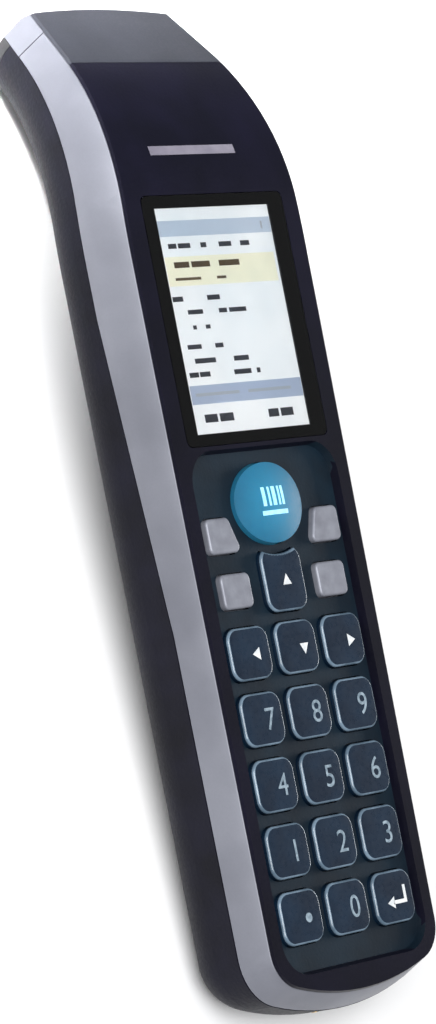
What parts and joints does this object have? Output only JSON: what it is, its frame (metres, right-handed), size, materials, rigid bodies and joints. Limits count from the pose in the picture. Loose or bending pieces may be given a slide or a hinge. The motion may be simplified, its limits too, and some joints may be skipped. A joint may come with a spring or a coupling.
{
  "type": "handheld barcode data terminal",
  "caption": "Slim handheld scanning terminal with a colour display, a numeric keypad, an oval scan key and a bent scanning head with a window at its end.",
  "frame": {"origin": "on the flat back face, at the middle of the body's width, where the hand carries it", "axes": "+X to the right of someone reading the display, +Y from the tail to the scanning head, +Z out of the keypad"},
  "size_m": [0.0458, 0.1627, 0.0294],
  "materials": {
    "rear_shell": "fine-textured dark grey plastic",
    "front_face": "near-black blue plastic",
    "silver_band": "silver lacquer on plastic",
    "scan_bezel": "black plastic",
    "scan_glass": "dark red filter window",
    "head_cap": "mid grey plastic",
    "seal_rubber": "soft black rubber",
    "screw_steel": "plated steel",
    "display_glass": "clear hard-coated window",
    "mask_black": "black mask and adhesive",
    "lcd_panel": "lit display panel",
    "frame_plastic": "black moulded plastic",
    "flex_film": "amber polyimide film",
    "dome_film": "film with snap domes",
    "circuit_board": "green solder resist",
    "battery_case": "dark sleeve",
    "contact_brass": "gold-plated contact",
    "shield_steel": "tinned steel",
    "antenna_ceramic": "white ceramic",
    "buzzer_black": "black plastic case",
    "motor_steel": "plain steel",
    "motor_weight": "dense sintered metal",
    "latch_plastic": "dark grey plastic",
    "scan_chassis": "die-cast light metal",
    "laser_brass": "turned brass barrel",
    "scan_mirror": "first-surface mirror",
    "collector_mirror": "hollow collecting mirror",
    "sensor_black": "dark filter resin",
    "key_dark": "dark translucent plastic",
    "key_grey": "light grey plastic",
    "key_blue": "light blue plastic"
  },
  "bodies": {
    "terminal": {"antenna": "antenna_ceramic", "battery_contacts": "contact_brass", "battery_pack": "battery_case", "buzzer": "buzzer_black", "charge_contacts": "contact_brass", "coin_cell": "shield_steel", "collector_mirror": "collector_mirror", "contact_block": "frame_plastic", "display_gasket": "mask_black", "display_window": "display_glass", "dome_sheet": "dome_film", "front_housing": "front_face", "head_cap": "head_cap", "housing_screws": "screw_steel", "housing_seal": "seal_rubber", "laser_module": "laser_brass", "lcd_flex": "flex_film", "lcd_module": "lcd_panel", "lcd_tray": "frame_plastic", "main_board": "circuit_board", "mid_frame": "frame_plastic", "mirror_pin": "motor_steel", "nose_trim": "silver_band", "photo_sensor": "sensor_black", "radio_module": "shield_steel", "rear_housing": "rear_shell", "scan_bezel": "scan_bezel", "scan_board": "circuit_board", "scan_chassis": "scan_chassis", "scan_window": "scan_glass", "shield_can": "shield_steel", "side_band": "silver_band", "vibration_motor": "motor_steel"},
    "battery_door": {"battery_cover": "rear_shell", "cover_pad": "seal_rubber"},
    "door_latch": {"cover_latch": "latch_plastic"},
    "unbalanced_weight": {"motor_weight": "motor_weight"},
    "swinging_mirror": {"scan_mirror": "scan_mirror"},
    "key_0_cap": {"key_0": "key_dark"},
    "key_1_cap": {"key_1": "key_dark"},
    "key_2_cap": {"key_2": "key_dark"},
    "key_3_cap": {"key_3": "key_dark"},
    "key_4_cap": {"key_4": "key_dark"},
    "key_5_cap": {"key_5": "key_dark"},
    "key_6_cap": {"key_6": "key_dark"},
    "key_7_cap": {"key_7": "key_dark"},
    "key_8_cap": {"key_8": "key_dark"},
    "key_9_cap": {"key_9": "key_dark"},
    "key_dot_cap": {"key_dot": "key_dark"},
    "key_enter_cap": {"key_enter": "key_dark"},
    "key_left_cap": {"key_left": "key_dark"},
    "key_right_cap": {"key_right": "key_dark"},
    "key_up_cap": {"key_up": "key_dark"},
    "key_down_cap": {"key_down": "key_dark"},
    "key_f1_cap": {"key_f1": "key_grey"},
    "key_f2_cap": {"key_f2": "key_grey"},
    "key_f3_cap": {"key_f3": "key_grey"},
    "key_f4_cap": {"key_f4": "key_grey"},
    "key_scan_cap": {"key_scan": "key_blue"}
  },
  "joints": [
    {"name": "key_0_press", "type": "slide", "parent": "terminal", "child": "key_0_cap", "axis": [0, 0, -1], "range_m": [0, 0.0008], "stiffness_N_per_m": 1500},
    {"name": "key_1_press", "type": "slide", "parent": "terminal", "child": "key_1_cap", "axis": [0, 0, -1], "range_m": [0, 0.0008], "stiffness_N_per_m": 1500},
    {"name": "key_2_press", "type": "slide", "parent": "terminal", "child": "key_2_cap", "axis": [0, 0, -1], "range_m": [0, 0.0008], "stiffness_N_per_m": 1500},
    {"name": "key_3_press", "type": "slide", "parent": "terminal", "child": "key_3_cap", "axis": [0, 0, -1], "range_m": [0, 0.0008], "stiffness_N_per_m": 1500},
    {"name": "key_4_press", "type": "slide", "parent": "terminal", "child": "key_4_cap", "axis": [0, 0, -1], "range_m": [0, 0.0008], "stiffness_N_per_m": 1500},
    {"name": "key_5_press", "type": "slide", "parent": "terminal", "child": "key_5_cap", "axis": [0, 0, -1], "range_m": [0, 0.0008], "stiffness_N_per_m": 1500},
    {"name": "key_6_press", "type": "slide", "parent": "terminal", "child": "key_6_cap", "axis": [0, 0, -1], "range_m": [0, 0.0008], "stiffness_N_per_m": 1500},
    {"name": "key_7_press", "type": "slide", "parent": "terminal", "child": "key_7_cap", "axis": [0, 0, -1], "range_m": [0, 0.0008], "stiffness_N_per_m": 1500},
    {"name": "key_8_press", "type": "slide", "parent": "terminal", "child": "key_8_cap", "axis": [0, 0, -1], "range_m": [0, 0.0008], "stiffness_N_per_m": 1500},
    {"name": "key_9_press", "type": "slide", "parent": "terminal", "child": "key_9_cap", "axis": [0, 0, -1], "range_m": [0, 0.0008], "stiffness_N_per_m": 1500},
    {"name": "key_dot_press", "type": "slide", "parent": "terminal", "child": "key_dot_cap", "axis": [0, 0, -1], "range_m": [0, 0.0008], "stiffness_N_per_m": 1500},
    {"name": "key_enter_press", "type": "slide", "parent": "terminal", "child": "key_enter_cap", "axis": [0, 0, -1], "range_m": [0, 0.0008], "stiffness_N_per_m": 1500},
    {"name": "key_left_press", "type": "slide", "parent": "terminal", "child": "key_left_cap", "axis": [0, 0, -1], "range_m": [0, 0.0008], "stiffness_N_per_m": 1500},
    {"name": "key_right_press", "type": "slide", "parent": "terminal", "child": "key_right_cap", "axis": [0, 0, -1], "range_m": [0, 0.0008], "stiffness_N_per_m": 1500},
    {"name": "key_up_press", "type": "slide", "parent": "terminal", "child": "key_up_cap", "axis": [0, 0, -1], "range_m": [0, 0.0008], "stiffness_N_per_m": 1500},
    {"name": "key_down_press", "type": "slide", "parent": "terminal", "child": "key_down_cap", "axis": [0, 0, -1], "range_m": [0, 0.0008], "stiffness_N_per_m": 1500},
    {"name": "key_f1_press", "type": "slide", "parent": "terminal", "child": "key_f1_cap", "axis": [0, 0, -1], "range_m": [0, 0.0008], "stiffness_N_per_m": 1500},
    {"name": "key_f2_press", "type": "slide", "parent": "terminal", "child": "key_f2_cap", "axis": [0, 0, -1], "range_m": [0, 0.0008], "stiffness_N_per_m": 1500},
    {"name": "key_f3_press", "type": "slide", "parent": "terminal", "child": "key_f3_cap", "axis": [0, 0, -1], "range_m": [0, 0.0008], "stiffness_N_per_m": 1500},
    {"name": "key_f4_press", "type": "slide", "parent": "terminal", "child": "key_f4_cap", "axis": [0, 0, -1], "range_m": [0, 0.0008], "stiffness_N_per_m": 1500},
    {"name": "key_scan_press", "type": "slide", "parent": "terminal", "child": "key_scan_cap", "axis": [0, 0, -1], "range_m": [0, 0.0008], "stiffness_N_per_m": 1500},
    {"name": "battery_door_hinge", "type": "hinge", "parent": "terminal", "child": "battery_door", "pos_m": [0, 0.0236, 0], "axis": [1, 0, 0], "range_deg": [0, 70]},
    {"name": "door_latch_slide", "type": "slide", "parent": "battery_door", "child": "door_latch", "axis": [0, -1, 0], "range_m": [0, 0.0016]},
    {"name": "scan_mirror_swing", "type": "hinge", "parent": "terminal", "child": "swinging_mirror", "pos_m": [0.0034, 0.08858, 0.00047], "axis": [0, -0.5878, -0.809], "range_deg": [-12, 12]},
    {"name": "vibration_weight_spin", "type": "hinge", "parent": "terminal", "child": "unbalanced_weight", "pos_m": [0.002, 0.052, 0.0046], "axis": [1, 0, 0], "continuous": true}
  ]
}
